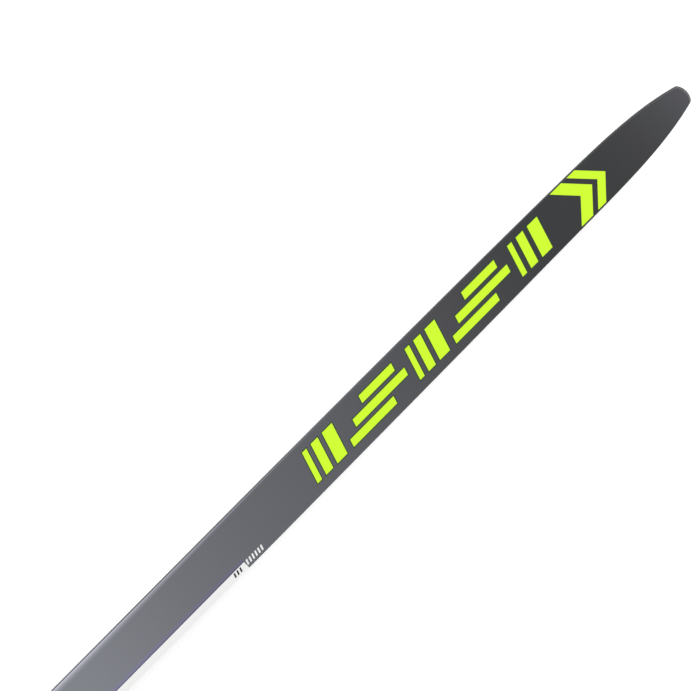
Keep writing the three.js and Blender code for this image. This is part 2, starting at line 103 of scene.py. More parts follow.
PLATFORM_THICKNESS, SHOVEL_THICKNESS = 26.0, 8.5
FRONT_THIN_X, REAR_THIN_X = 700.0, -800.0  # where the ski stops thinning quickly
TIP_THINNING, TAIL_THINNING = 2.9, 2.1  # what the ends lose after that

BASE_TOP, LAMINATE, TOP = 1.6, 0.7, 1.0  # thicknesses of the layers
GLUE, BUTT_GAP = 0.1, 0.3  # resin lines between layers, and between pieces end to end
GROOVE_ENDS, GROOVE_FADE = (-850.0, 780.0), 60.0
GROOVE_HALF, GROOVE_DEPTH = 4.2, 1.0
SIDEWALL_WIDTH = 2.6
CORE_ENDS = (-800.0, 790.0)
PROTECTOR_END = -918.0
LOW_CORE = BASE_TOP + LAMINATE + 2 * GLUE  # height of the core's underside
LAYERS_TAIL = PROTECTOR_END + BUTT_GAP  # where the layers start


def unit(t):
    return min(1.0, max(0.0, t))


def ease(t):
    t = unit(t)
    return t * t * (3 - 2 * t)


def round_end(distance, length):
    """Half of an ellipse: 0 at an end of the ski, 1 from length on."""
    return math.sqrt(1 - (1 - unit(distance / length)) ** 2)


def half_width(x):
    from_tip, from_tail = TIP - x, x - TAIL
    cut = SIDECUT * max(0.0, 1 - (from_tip - TIP_TAPER) / SIDECUT_LENGTH) ** SIDECUT_POWER
    tip = TIP_DROP * max(0.0, 1 - from_tip / TIP_TAPER) ** TIP_POWER
    tail = TAIL_DROP * max(0.0, 1 - from_tail / TAIL_TAPER) ** 2
    rounding = round_end(from_tip, TIP_ROUND) * round_end(from_tail, TAIL_ROUND)
    return max(END_HALF, (WAIST_HALF - cut - tip - tail) * rounding)


def base_height(x):
    """Height of the running surface over the floor."""
    if x > FRONT_FLAT[1]:
        return TIP_RISE * ((x - FRONT_FLAT[1]) / (TIP - FRONT_FLAT[1])) ** TIP_CURVE
    if x < REAR_FLAT[0]:
        return TAIL_RISE * ((REAR_FLAT[0] - x) / (REAR_FLAT[0] - TAIL)) ** TAIL_CURVE
    front = (FRONT_FLAT[0] - x) / (FRONT_FLAT[0] - PLATFORM[1])
    rear = (x - REAR_FLAT[1]) / (PLATFORM[0] - REAR_FLAT[1])
    return CAMBER * ease(min(front, rear))


def thickness(x):
    loss = PLATFORM_THICKNESS - SHOVEL_THICKNESS
    front = PLATFORM_THICKNESS - loss * ease((x - PLATFORM[1]) / (FRONT_THIN_X - PLATFORM[1]))
    rear = PLATFORM_THICKNESS - loss * ease((PLATFORM[0] - x) / (PLATFORM[0] - REAR_THIN_X))
    tip = TIP_THINNING * unit((x - FRONT_THIN_X) / (TIP - FRONT_THIN_X)) ** 2
    tail = TAIL_THINNING * unit((REAR_THIN_X - x) / (REAR_THIN_X - TAIL)) ** 2
    return min(front, rear) - tip - tail


def top_of_core(x):
    return thickness(x) - TOP - LAMINATE - 2 * GLUE


def on_ski(x, y, lift):
    """A point of the ski, in metres: at station x, across by y and above the base by lift, in mm."""
    step = 0.01
    slope = (base_height(x + step) - base_height(x - step)) / (2 * step)
    length = math.hypot(1, slope)
    return Vector((x - lift * slope / length, y, base_height(x) + lift / length)) * MM


# ---- Materials ----


class Shader:
    """A material's node tree, with short calls for the nodes used here."""

    def __init__(self, name, color=(0.5, 0.5, 0.5), rough=0.5, metal=0.0, **inputs):
        self.material = bpy.data.materials.new(name)
        self.material.use_nodes = True
        self.tree = self.material.node_tree
        self.bsdf = self.tree.nodes["Principled BSDF"]
        self.set("Base Color", (*color, 1))
        self.set("Roughness", rough)
        self.set("Metallic", metal)
        for key, value in inputs.items():
            self.set(key.replace("_", " "), value)
        coords = self.tree.nodes.new("ShaderNodeTexCoord")
        self.object = coords.outputs["Object"]

    def set(self, key, value):
        self.bsdf.inputs[key].default_value = value

    def link(self, output, key):
        self.tree.links.new(output, self.bsdf.inputs[key] if isinstance(key, str) else key)
        return self

    def node(self, kind, **settings):
        node = self.tree.nodes.new("ShaderNode" + kind)
        for key, value in settings.items():
            if hasattr(node, key):
                setattr(node, key, value)
            else:
                socket = node.inputs[key.replace("_", " ")]
                if isinstance(value, bpy.types.NodeSocket):
                    self.tree.links.new(value, socket)
                else:
                    socket.default_value = value
        return node

    def stretched(self, scale):
        """Object coordinates multiplied by scale along each axis."""
        return self.node("Mapping", Vector=self.object, Scale=scale).outputs["Vector"]

    def noise(self, scale, detail=3, stretch=(1, 1, 1)):
        vector = self.stretched(stretch)
        return self.node("TexNoise", Vector=vector, Scale=scale, Detail=detail).outputs["Fac"]

    def ramp(self, fac, stops):
        node = self.node("ValToRGB", Fac=fac)
        points = node.color_ramp.elements
        while len(points) < len(stops):
            points.new(0.5)
        for point, (position, color) in zip(points, stops):
            point.position = position
            point.color = (*color, 1)
        return node.outputs["Color"]

    def between(self, value, low, high):
        node = self.node("MapRange", Value=value)
        node.inputs["To Min"].default_value = low
        node.inputs["To Max"].default_value = high
        return node.outputs["Result"]

    def bump(self, height, distance, strength=1.0):
        node = self.node("Bump", Height=height, Distance=distance, Strength=strength)
        return self.link(node.outputs["Normal"], "Normal")

    def multiply(self, color, factor):
        """A colour multiplied by a value."""
        mix_factor, color_a, color_b, color_result = 0, 6, 7, 2  # places of a Mix node's sockets
        node = self.node("Mix", data_type="RGBA", blend_type="MULTIPLY")
        node.inputs[mix_factor].default_value = 1
        self.tree.links.new(color, node.inputs[color_a])
        self.tree.links.new(factor, node.inputs[color_b])
        return node.outputs[color_result]


def linear(*srgb):
    """8-bit sRGB to Blender's linear colour."""
    return tuple((c / 255 / 12.92) if c < 11 else ((c / 255 + 0.055) / 1.055) ** 2.4 for c in srgb)


# The top's colour along the ski: darkest behind the tip and lighter towards the foot, with a fine flake.
# The lighter stops ahead of x = 848 mm are a painted reflection on the upturned tip.
SHEEN = 0.023  # light that the lacquer's gloss adds to its colour under the studio light
TOP_TONE_AND_TIP_REFLECTION = [
    (930, (88, 88, 93)),
    (904, (77, 78, 80)),
    (876, (69, 69, 71)),
    (848, (64, 65, 66)),
    (770, (62, 64, 65)),
    (690, (76, 76, 79)),
    (590, (89, 90, 94)),
    (430, (105, 107, 112)),
    (350, (116, 117, 123)),
    (265, (129, 131, 138)),
    (100, (140, 143, 148)),
    (-930, (140, 143, 148)),
]


def lacquer(name="top_lacquer", tint_and_highlight=(1, 1, 1)):
    """The printed top's finish, tinted by a colour gain, or brightened by it into copies that paint a
    highlight.
    """
    s = Shader(name, rough=0.36, Specular_IOR_Level=0.35)
    axis = s.node("SeparateXYZ", Vector=s.object).outputs["X"]
    along = s.node("MapRange", Value=axis)
    along.inputs["From Min"].default_value = TIP * MM
    along.inputs["From Max"].default_value = TAIL * MM
    stops = []
    for x, color in TOP_TONE_AND_TIP_REFLECTION:
        toned = [(c - SHEEN) * t for c, t in zip(linear(*color), tint_and_highlight)]
        stops.append(((TIP - x) / (TIP - TAIL), toned))
    # colour along the ski; its lightening at the very tip is a painted reflection
    tone_and_tip_reflection = s.ramp(along.outputs["Result"], stops)
    flake = s.between(s.noise(4200, 2), 0.93, 1.07)
    s.link(s.multiply(tone_and_tip_reflection, flake), "Base Color")
    s.link(s.between(s.noise(90, 4), 0.24, 0.32), "Roughness")
    return s.bump(s.noise(2600, 2), 0.00001, 0.5).material


def ink(name, color, rough=0.38, painted_glow=0.0):
    s = Shader(name, color, rough, Specular_IOR_Level=0.4)
    # an emission that paints a glow: the ink gives off light of its own
    if painted_glow:
        s.set("Emission Color", (*color, 1))
        s.set("Emission Strength", painted_glow)
    grain = s.between(s.noise(1800, 2), rough - 0.05, rough + 0.06)
    s.link(grain, "Roughness")
    return s.bump(s.noise(1500, 2), 0.00001, 0.4).material


def sidewall_plastic():
    s = Shader("sidewall_graphite", (0.05, 0.052, 0.057), 0.42)
    dark, light = (0.042, 0.044, 0.048), (0.062, 0.064, 0.07)
    s.link(s.ramp(s.noise(60, 4, (0.4, 1, 1)), [(0.3, dark), (0.7, light)]), "Base Color")
    s.link(s.between(s.noise(400, 3, (0.05, 1, 1)), 0.36, 0.5), "Roughness")
    return s.bump(s.noise(900, 3, (0.04, 1, 1)), 0.00004, 0.5).material


def base_plastic():
    s = Shader("graphite_base", (0.02, 0.02, 0.022), 0.35)
    dark, light = (0.012, 0.012, 0.014), (0.035, 0.035, 0.038)
    s.link(s.ramp(s.noise(1500, 5, (0.02, 1, 1)), [(0.3, dark), (0.7, light)]), "Base Color")
    s.link(s.between(s.noise(30, 4, (0.3, 1, 1)), 0.28, 0.42), "Roughness")
    return s.bump(s.noise(2200, 2, (0.015, 1, 1)), 0.00005, 0.6).material


def fibre():
    s = Shader("fibre_laminate", (0.03, 0.032, 0.035), 0.5)
    dark, light = (0.015, 0.016, 0.018), (0.07, 0.072, 0.078)
    shade = s.ramp(s.noise(2400, 3, (0.03, 1, 1)), [(0.35, dark), (0.65, light)])
    return s.link(shade, "Base Color").material


def moulded(name, dark, light, rough=0.5, bump=0.00003):
    """Moulded plastic or rubber: a faint cloudiness over a fine spark-eroded grain."""
    s = Shader(name, light, rough)
    s.link(s.ramp(s.noise(900, 5), [(0.3, dark), (0.7, light)]), "Base Color")
    s.link(s.between(s.noise(700, 3), rough - 0.06, rough + 0.06), "Roughness")
    return s.bump(s.noise(3200, 3), bump, 0.7).material


def timber(name, dark, light):
    s = Shader(name, light, 0.65)
    rings = s.noise(260, 6, (0.03, 1, 0.5))
    s.link(s.ramp(rings, [(0.35, dark), (0.6, light)]), "Base Color")
    return s.bump(rings, 0.0001, 0.5).material


def steel():
    s = Shader("satin_steel", (0.62, 0.63, 0.65), 0.3, 1.0)
    marks = s.noise(700, 4, (1, 0.05, 1))
    s.link(s.ramp(marks, [(0.3, (0.5, 0.51, 0.53)), (0.7, (0.7, 0.71, 0.73))]), "Base Color")
    s.link(s.between(marks, 0.24, 0.4), "Roughness")
    return s.bump(marks, 0.00002, 0.5).material


NEON = linear(198, 242, 26)
paint = {
    "top": lacquer(),
    # the neon ink's slight glow is painted light, standing in for its fluorescence
    "neon": ink("neon_ink", NEON, 0.45, 0.12),
    "edge_green": ink("dark_green_ink", linear(28, 60, 30)),
    "white": ink("white_ink", (0.86, 0.86, 0.855)),
    "black": ink("black_ink", (0.012, 0.012, 0.014)),
    "violet": ink("violet_ink", linear(74, 66, 102)),
    # dark line on the left edge: partly its dark lip, partly painted shade
    "rim": ink("edge_lip_and_painted_shade", linear(66, 68, 73)),
    "haze": lacquer("violet_lacquer", (1.0, 0.98, 1.28)),
    "sidewall": sidewall_plastic(),
    "base": base_plastic(),
    "fibre": fibre(),
    "filler": moulded("filler_plastic", (0.015, 0.015, 0.017), (0.04, 0.04, 0.043)),
    "protector": moulded("protector_plastic", (0.012, 0.012, 0.014), (0.035, 0.035, 0.037), 0.45),
    "spruce": timber("spruce", (0.42, 0.24, 0.1), (0.68, 0.47, 0.25)),
    "beech": timber("beech", (0.32, 0.17, 0.08), (0.52, 0.31, 0.16)),
    "housing": moulded("black_nylon", (0.014, 0.014, 0.016), (0.03, 0.031, 0.034), 0.46),
    "rail": moulded("rail_nylon", (0.022, 0.023, 0.025), (0.045, 0.046, 0.05), 0.5),
    "rubber": moulded("rubber", (0.008, 0.008, 0.008), (0.02, 0.02, 0.02), 0.75, 0.00006),
    "accent": moulded("neon_plastic", tuple(c * 0.9 for c in NEON), NEON, 0.38),
    "steel": steel(),
}

# ---- Building blocks ----


def mesh_from(bm, name):
    mesh = bpy.data.meshes.new(name)
    bm.to_mesh(mesh)
    bm.free()
    return mesh


def new_object(name, mesh, material, body):
    obj = bpy.data.objects.new(name, mesh)
    bpy.context.scene.collection.objects.link(obj)
    mesh.materials.append(material)
    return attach(obj, body)


def smooth(mesh, angle=35):
    for polygon in mesh.polygons:
        polygon.use_smooth = True
    mesh.set_sharp_from_angle(angle=math.radians(angle))


def join_rings(bm, rings):
    """Quads from each ring of vertices to the next."""
    for a, b in zip(rings, rings[1:]):
        for i in range(len(a)):
            j = (i + 1) % len(a)
            bm.faces.new((a[i], a[j], b[j], b[i]))


def bevel(obj, width, segments=2):
    """Real rounded edges, width mm wide."""
    modifier = obj.modifiers.new("edges", "BEVEL")
    modifier.width, modifier.segments = width * MM, segments
    modifier.limit_method, modifier.angle_limit = "ANGLE", math.radians(30)


# ---- Ski: smooth layers swept along dense stations ----

STATION_STEP = 4.0
END_ZONE = 12.0  # stations crowd together this close to the ski's own ends
CROWDING = 0.18  # there a step is this share of the distance to the end
SHORTEST_STEP = 0.12


def spaced(start, end):
    """Stations from start to end."""
    xs, x = [start], start
    while x < end - 1e-6:
        near = min(TIP - x, x - TAIL)
        crowded = max(SHORTEST_STEP, near * CROWDING)
        x += STATION_STEP if near > END_ZONE + STATION_STEP else crowded
        xs.append(min(x, end))
    return sorted(set(xs))


def sweep(name, section, start, end, material, slot, *nodes):
    """A closed piece whose outline section(x) gives, as (across, lift) pairs, at each station."""
    bm = bmesh.new()
    rings = []
    for x in spaced(start, end):
        rings.append([bm.verts.new(on_ski(x, y, lift)) for y, lift in section(x)])
    join_rings(bm, rings)
    bm.faces.new(rings[0])
    bm.faces.new(rings[-1])
    bmesh.ops.recalc_face_normals(bm, faces=bm.faces)
    mesh = mesh_from(bm, name)
    smooth(mesh)
    obj = new_object(name, mesh, material, "ski")
    if nodes:
        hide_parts(*nodes)


EDGE_STEPS = 8
LIP = 0.3  # height of the small round at the very edge
LIP_INSET = LIP * 0.4
SKIRT = 0.15  # the shoulder's foot, above the top sheet's underside
WIDENING = (760.0, 380.0)  # the left shoulder widens from the first station to the second
REACH, EXTRA_REACH = 1.8, 3.8  # the shoulder's width, and what the left one gains
DROP, EXTRA_DROP = 0.35, 0.25  # the same for its depth


def shoulder(x, side):
    """How far in the top sheet's sloping shoulder reaches, and how deep it drops, in mm.

    The left one widens towards the middle of the ski, as the ski gets thicker.
    """
    full = ease((x - WIDENING[0]) / (WIDENING[1] - WIDENING[0])) if side > 0 else 0
    return min(REACH + EXTRA_REACH * full, half_width(x) * 0.5), DROP + EXTRA_DROP * full


def shoulder_height(x, side, inset):
    """Height of the top sheet at inset mm from its edge."""
    reach, drop = shoulder(x, side)
    return thickness(x) - drop * max(0.0, 1 - inset / reach) ** 2


def roll(x, side, up=0.0):
    """The shoulder's outline from its foot up to the flat, raised by up."""
    width = half_width(x) + up
    reach, drop = shoulder(x, side)
    points = [(side * width, thickness(x) - TOP + SKIRT), (side * width, thickness(x) - drop - LIP)]
    for i in range(EDGE_STEPS + 1):
        inset = LIP_INSET + (reach - LIP_INSET) * i / EDGE_STEPS
        points.append((side * (width - inset), shoulder_height(x, side, inset) + up))
    return points


def top_section(x):
    foot = thickness(x) - TOP + GLUE * 0.2
    left = [(half_width(x), foot)] + roll(x, 1)
    right = [(-half_width(x), foot)] + roll(x, -1)
    return right + left[::-1]


def both_sides(right):
    """A closed outline from its right half, which runs from the bottom to the top."""
    return [(-y, z) for y, z in right] + right[::-1]


def band(low, high, inset=0.0):
    """An outline between two heights, its sides moved in by inset and its corners eased."""

    def section(x):
        bottom, top = low(x), high(x)
        w = half_width(x) - inset
        e = min(0.25, (top - bottom) * 0.3)
        return both_sides([(w - e, bottom), (w, bottom + e), (w, top - e), (w - e, top)])

    return section


def base_section(x):
    run_out = ease(min(x - GROOVE_ENDS[0], GROOVE_ENDS[1] - x) / GROOVE_FADE)
    depth = max(0.02, run_out * GROOVE_DEPTH)
    w, edge = half_width(x), 0.35
    half = min(GROOVE_HALF, w * 0.4)
    groove = [(half * 0.72, depth), (half * 0.86, depth * 0.8), (half, 0)]
    right = groove + [(w - edge, 0), (w, edge), (w, BASE_TOP)]
    return [(-y, z) for y, z in right][::-1] + right


def wall(side):
    def section(x):
        low, high, outer = LOW_CORE, top_of_core(x), half_width(x)
        inner = half_width(x) * (WAIST_HALF - SIDEWALL_WIDTH) / WAIST_HALF
        return [(side * inner, low), (side * outer, low), (side * outer, high), (side * inner, high)]

    return section


def cap_section(x):
    """The tail protector: a small round below and a larger one above."""
    w, top = half_width(x), thickness(x)
    e = min(1.2, w * 0.4)
    lower = [(w - e, 0), (w - e * 0.3, 0.25), (w, 1)]
    upper = [(w, top - 1.4), (w - e * 0.35, top - 0.35), (w - e, top)]
    return both_sides(lower + upper)


sweep("top_skin", top_section, LAYERS_TAIL, TIP, paint["top"], "top", "top_sheet")
sweep("base_skin", base_section, LAYERS_TAIL, TIP, paint["base"], "base", "base_sheet")
lower = band(lambda x: BASE_TOP + GLUE * 0.2, lambda x: LOW_CORE - GLUE * 0.2, 0.05)
sweep("lower_fibre", lower, LAYERS_TAIL, TIP, paint["fibre"], "laminate", "lower_laminate")
upper = band(lambda x: top_of_core(x) + GLUE * 0.2, lambda x: thickness(x) - TOP, 0.05)
sweep("upper_fibre", upper, LAYERS_TAIL, TIP, paint["fibre"], "laminate", "upper_laminate")
sweep("left_wall", wall(1), *CORE_ENDS, paint["sidewall"], "sidewall", "sidewall_left")
sweep("right_wall", wall(-1), *CORE_ENDS, paint["sidewall"], "sidewall", "sidewall_right")
filler = band(lambda x: LOW_CORE, top_of_core)
sweep("tip_fill", filler, CORE_ENDS[1] + BUTT_GAP, TIP, paint["filler"], "filler", "tip_filler")
sweep("tail_fill", filler, LAYERS_TAIL, CORE_ENDS[0] - BUTT_GAP, paint["filler"], "filler", "tail_filler")
sweep("tail_cap", cap_section, TAIL, PROTECTOR_END, paint["protector"], "protector", "tail_protector")

# ---- Printed graphics: thin inks on the top sheet ----


def grow(polygon, by):
    """A convex outline moved outwards by a distance."""
    count = len(polygon)
    turn = sum(
        polygon[i][0] * polygon[(i + 1) % count][1] - polygon[(i + 1) % count][0] * polygon[i][1]
        for i in range(count)
    )
    sign = 1 if turn > 0 else -1
    grown = []
    for i in range(count):
        before, here, after = (Vector(polygon[(i + k) % count]) for k in (-1, 0, 1))
        n1 = (here - before).normalized()
        n2 = (after - here).normalized()
        out1, out2 = Vector((n1.y, -n1.x)) * sign, Vector((n2.y, -n2.x)) * sign
        middle = (out1 + out2).normalized()
        grown.append(tuple(here + middle * (by / max(0.3, middle.dot(out1)))))
    return grown


INK_SUNK = 0.12  # how far a printed film reaches into the top sheet


def printed(name, polygons, height, material):
    """Flat outlines in plan (mm along, mm across), laid on the ski's top as a film height mm thick."""
    bm = bmesh.new()
    for polygon in polygons:
        bm.faces.new([bm.verts.new((x, y, height)) for x, y in polygon])
    xs = [v.co.x for v in bm.verts]
    station = math.ceil(min(xs) / STATION_STEP) * STATION_STEP
    while station < max(xs):
        everything = bm.verts[:] + bm.edges[:] + bm.faces[:]
        bmesh.ops.bisect_plane(bm, geom=everything, plane_co=(station, 0, 0), plane_no=(1, 0, 0))
        station += STATION_STEP
    made = bmesh.ops.extrude_face_region(bm, geom=bm.faces[:])
    for v in made["geom"]:
        if isinstance(v, bmesh.types.BMVert):
            v.co.z = -INK_SUNK
    for v in bm.verts:
        v.co = on_ski(v.co.x, v.co.y, thickness(v.co.x) + v.co.z)
    bmesh.ops.recalc_face_normals(bm, faces=bm.faces)
    new_object(name, mesh_from(bm, name), material, "ski")


SLANT = 0.32  # how far a bar's upper side leans forward
BAND_HALF = 13.4


def bar(start, end, low, high):
    """A leaning bar: along from start to end, across from low to high."""
    back, ahead = low * SLANT, high * SLANT
    return [(start + back, low), (end + back, low), (end + ahead, high), (start + ahead, high)]


STROKE = 6.4
# Three lanes of speed lines: (low, high, share of the stack's length left free behind, share taken).
LANES = [
    (-BAND_HALF, -BAND_HALF + STROKE, 0.0, 0.72),
    (-STROKE / 2, STROKE / 2, 0.14, 0.86),
    (BAND_HALF - STROKE, BAND_HALF, 0.34, 0.54),
]
ROW_START = 500.0
GROUP_GAP = 7.5
BAR_GAP = 5.0
SWELL = (5.0, 8.0, 11.5)  # widths of the tall bars in a group, from the rear
STACK = 70.0  # length of a stack of speed lines
GROUPS = ["bars", "lines", "bars", "lines", "bars"]  # from the rear
OUTLINE = 0.8  # width of the dark green line round each bar


def leaning_row():
    shapes, place = [], ROW_START
    for group in GROUPS:
        if group == "bars":
            for width in SWELL:
                shapes.append(bar(place, place + width, -BAND_HALF, BAND_HALF))
                place += width + BAR_GAP
            place += GROUP_GAP - BAR_GAP
        else:
            for low, high, behind, taken in LANES:
                start = place + behind * STACK
                shapes.append(bar(start, start + taken * STACK, low, high))
            place += STACK + GROUP_GAP
    return shapes


bars = leaning_row()
printed("bars_edge", [grow(b, OUTLINE) for b in bars], 0.03, paint["edge_green"])
printed("bars", bars, 0.06, paint["neon"])

CHEVRONS = ((843, 9), (828, 13))  # station of each point, and how thick the stroke is
CHEVRON_ARM = 17  # how far each arm reaches back
CHEVRON_MARGIN, CHEVRON_GAUGE = 1.4, 20  # bare edge outside the arms, at this far behind the point


def chevron(apex, thick):
    half = half_width(apex - CHEVRON_GAUGE) - CHEVRON_MARGIN
    back = apex - CHEVRON_ARM
    return [
        [(apex, 0), (back, half), (back - thick, half), (apex - thick, 0)],
        [(apex, 0), (apex - thick, 0), (back - thick, -half), (back, -half)],
    ]


arrows = [arm for apex, thick in CHEVRONS for arm in chevron(apex, thick)]
printed("chevrons", arrows, 0.06, paint["neon"])

# ---- White strip along the right-hand edge, with a violet line and haze inside it ----

PRINT_REAR = LAYERS_TAIL + 0.5  # where the printing along the edges starts
STRIP_FRONT, STRIP_WIDTH = 408.0, 6.4
STRIP_PROUD, STRIP_SUNK = 0.04, 0.1


def flat_strip(inner, outer, height):
    """A flat strip on the top between two distances from the right-hand edge."""

    def section(x):
        w, top = half_width(x), thickness(x)
        low, high = top - STRIP_SUNK, top + height
        return [(inner - w, high), (outer - w, high), (outer - w, low), (inner - w, low)]

    return section


def wrapped_strip(x):
    """The white strip, which follows the shoulder down to the sidewall."""
    outer, inner = roll(x, -1, STRIP_PROUD), roll(x, -1, -STRIP_SUNK)
    across, top = STRIP_WIDTH - half_width(x), thickness(x)
    return outer + [(across, top + STRIP_PROUD), (across, top - STRIP_SUNK)] + inner[::-1]


haze = flat_strip(STRIP_WIDTH + 3.2, STRIP_WIDTH + 0.7, 0.02)
pinline = flat_strip(STRIP_WIDTH + 0.8, STRIP_WIDTH, 0.03)
sweep("edge_strip", wrapped_strip, PRINT_REAR, STRIP_FRONT, paint["white"], "top")
sweep("edge_haze", haze, PRINT_REAR, STRIP_FRONT, paint["haze"], "top")
sweep("edge_pinline", pinline, PRINT_REAR, STRIP_FRONT, paint["violet"], "top")

# ---- Left shoulder: a dark rim, partly painted shade, and a painted highlight that is brightest beside it ----

RIM, RIM_INSET = 0.9, 0.12  # where the rim ends and starts, in from the left edge
RIM_FRONT, RIM_TAPER = 540.0, 120.0
HIGHLIGHT_FRONT, HIGHLIGHT_FULL = 580.0, 230.0  # the painted highlight narrows to nothing between these stations
# (name, start and end of the step in from the edge, brightness of the painted highlight against the top)
PAINTED_HIGHLIGHT_BANDS = (
    ("bright", RIM, 2.0, 2.4),
    ("middle", 2.0, 3.2, 1.75),
    ("soft", 3.2, 4.6, 1.35),
    ("faint", 4.6, 6.0, 1.12),
)
FILM = 0.15  # thickness of the films on the shoulder


def on_shoulder(x, insets, up):
    """A film on the left shoulder, through the given distances from its edge."""
    w = half_width(x)
    upper = [(w - inset, shoulder_height(x, 1, inset) + up) for inset in insets]
    return upper + [(y, z - FILM) for y, z in reversed(upper)]


def highlight_band_section(start, end):
    def section(x):
        share = max(0.02, ease((HIGHLIGHT_FRONT - x) / (HIGHLIGHT_FRONT - HIGHLIGHT_FULL)))
        steps = (start, (start + end) / 2, end)
        return on_shoulder(x, [RIM + (inset - RIM) * share for inset in steps], 0.03)

    return section


# A dark line along the outermost left edge of the top: partly the edge's dark lip, partly painted shade
# where the rolled edge turns from the light. It narrows to nothing at its front.
def rim_section(x):
    share = max(0.05, ease((RIM_FRONT - x) / RIM_TAPER))
    return on_shoulder(x, (RIM_INSET, RIM_INSET + (RIM - RIM_INSET) * share), 0.02)


sweep("edge_rim", rim_section, PRINT_REAR, RIM_FRONT, paint["rim"], "top")
# Each band is a brightened copy of the top's lacquer: a painted highlight on the left shoulder, brightest
# next to the rim.
for name, start, end, highlight_gain in PAINTED_HIGHLIGHT_BANDS:
    highlight_lacquer = lacquer(f"painted_highlight_{name}", (highlight_gain, highlight_gain, highlight_gain * 1.02))
    sweep(f"edge_painted_highlight_{name}", highlight_band_section(start, end), PRINT_REAR, HIGHLIGHT_FRONT, highlight_lacquer, "top")

# ---- Plain ticks at the front of the white strip ----

TICK, TICK_PITCH = 1.6, 3.3


def ticks(start, pitch, count, outer, inner):
    """Leaning ticks from one distance off the right-hand edge to another, at the waist's width."""
    stations = [start + i * pitch for i in range(count)]
    return [bar(x, x + TICK, outer - WAIST_HALF, inner - WAIST_HALF) for x in stations]


ahead = ticks(STRIP_FRONT + 7, TICK_PITCH, 6, 2.4, STRIP_WIDTH + 0.2)
printed("edge_ticks", ahead, 0.05, paint["white"])
behind = ticks(STRIP_FRONT - 1, -TICK_PITCH, 3, 2.0, STRIP_WIDTH - 0.8)
printed("strip_ticks", behind, 0.07, paint["black"])

# ---- Binding: the CAD's pieces with eased edges ----


def eased(node, look, width):
    """A copy of a CAD node with real rounded edges, in its place."""
    source = frame["nodes"][node]
    bm = bmesh.new()
    bm.from_mesh(source.data)
    bmesh.ops.remove_doubles(bm, verts=bm.verts, dist=1e-6)
    bmesh.ops.dissolve_limit(bm, angle_limit=math.radians(1.5), verts=bm.verts, edges=bm.edges)
    mesh = mesh_from(bm, node + "_eased")
    obj = new_object(node + "_eased", mesh, paint[look], body_of(source)[0])
    bevel(obj, width)
    for polygon in mesh.polygons:
        polygon.use_smooth = True
    weighted = obj.modifiers.new("normals", "WEIGHTED_NORMAL")
    weighted.keep_sharp = True
    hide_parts(node)


for node, look, width in (
    ("toe_sled", "housing", 0.35),
    ("nose", "housing", 0.5),
    ("heel_sled", "housing", 0.35),
    ("lever", "accent", 0.4),
    ("flexor", "rubber", 0.6),
    ("hook", "steel", 0.25),
    ("slider", "steel", 0.25),
    ("front_rail", "rail", 0.25),
    ("rear_rail", "rail", 0.25),
):
    eased(node, look, width)


def corners(node):
    """A CAD node's box in mm, as (low, high) along x, y and z."""
    low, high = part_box(node)
    return [(low[i] / MM, high[i] / MM) for i in range(3)]


def add_prism(bm, outline, axis, low, high):
    """A closed prism, in mm: outline pairs run over the two axes other than axis, in order."""
    place = {
        "x": lambda a, b, c: (c, a, b),
        "y": lambda a, b, c: (a, c, b),
        "z": lambda a, b, c: (a, b, c),
    }[axis]
    ends = [[bm.verts.new(Vector(place(a, b, c)) * MM) for a, b in outline] for c in (low, high)]
    faces = [bm.faces.new(end) for end in ends]
    for i in range(len(outline)):
        j = (i + 1) % len(outline)
        faces.append(bm.faces.new((ends[0][i], ends[0][j], ends[1][j], ends[1][i])))
    bmesh.ops.recalc_face_normals(bm, faces=faces)


def prisms(name, pieces, look, body, width=0.2, segments=2):
    """One object of several prisms, each (outline, axis, low, high), with rounded edges."""
    bm = bmesh.new()
    for piece in pieces:
        add_prism(bm, *piece)
    mesh = mesh_from(bm, name)
    smooth(mesh, 30)
    obj = new_object(name, mesh, paint[look], body)
    if width:
        bevel(obj, width, segments)
    return obj


def rectangle(x0, x1, y0, y1):
    return [(x0, y0), (x1, y0), (x1, y1), (x0, y1)]


def disc(x, y, radius, sides=24):
    turn = 2 * math.pi / sides
    return [(x + radius * math.cos(i * turn), y + radius * math.sin(i * turn)) for i in range(sides)]


MARK_SUNK, MARK_PROUD = 0.1, 0.04  # how far painted marks reach into and above a surface

# Heel pad: rubber with cross grooves.
pad_x, pad_y, pad_z = corners("heel_pad")
PAD_PITCH, GROOVE_WIDTH, PAD_GROOVE = 5.0, 1.3, 0.8


def grooved_outline():
    """The pad from the side, its grooves narrower at their floor."""
    outline = [(pad_x[0], pad_z[0]), (pad_x[1], pad_z[0]), (pad_x[1], pad_z[1])]
    x = pad_x[1] - PAD_PITCH
    brim, floor_half = GROOVE_WIDTH / 2, GROOVE_WIDTH * 0.3
    while x > pad_x[0] + 2:
        for dx, dz in ((brim, 0), (floor_half, -PAD_GROOVE), (-floor_half, -PAD_GROOVE), (-brim, 0)):
            outline.append((x + dx, pad_z[1] + dz))
        x -= PAD_PITCH
    return outline + [(pad_x[0], pad_z[1])]


heel_pieces = [(grooved_outline(), "y", *pad_y)]
heel_rubber = prisms("heel_rubber", heel_pieces, "rubber", "heel_unit", 0.25)
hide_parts("heel_pad")

# Dial: a scalloped disc with a rounded grip bar and a well for its screw.
dial_x, dial_y, dial_z = corners("dial")
DIAL_RADIUS = (dial_x[1] - dial_x[0]) / 2
DIAL_CENTRE = ((dial_x[0] + dial_x[1]) / 2, (dial_y[0] + dial_y[1]) / 2)
SCALLOPS, SCALLOP_DEPTH = 24, 0.55
SCALLOP_SIDES = 8  # sides of the disc in one scallop
DISC_TOP = dial_z[0] + 3.9
SHAFT_HOLE = 2.0  # radius left open in the middle of the disc, under the grip


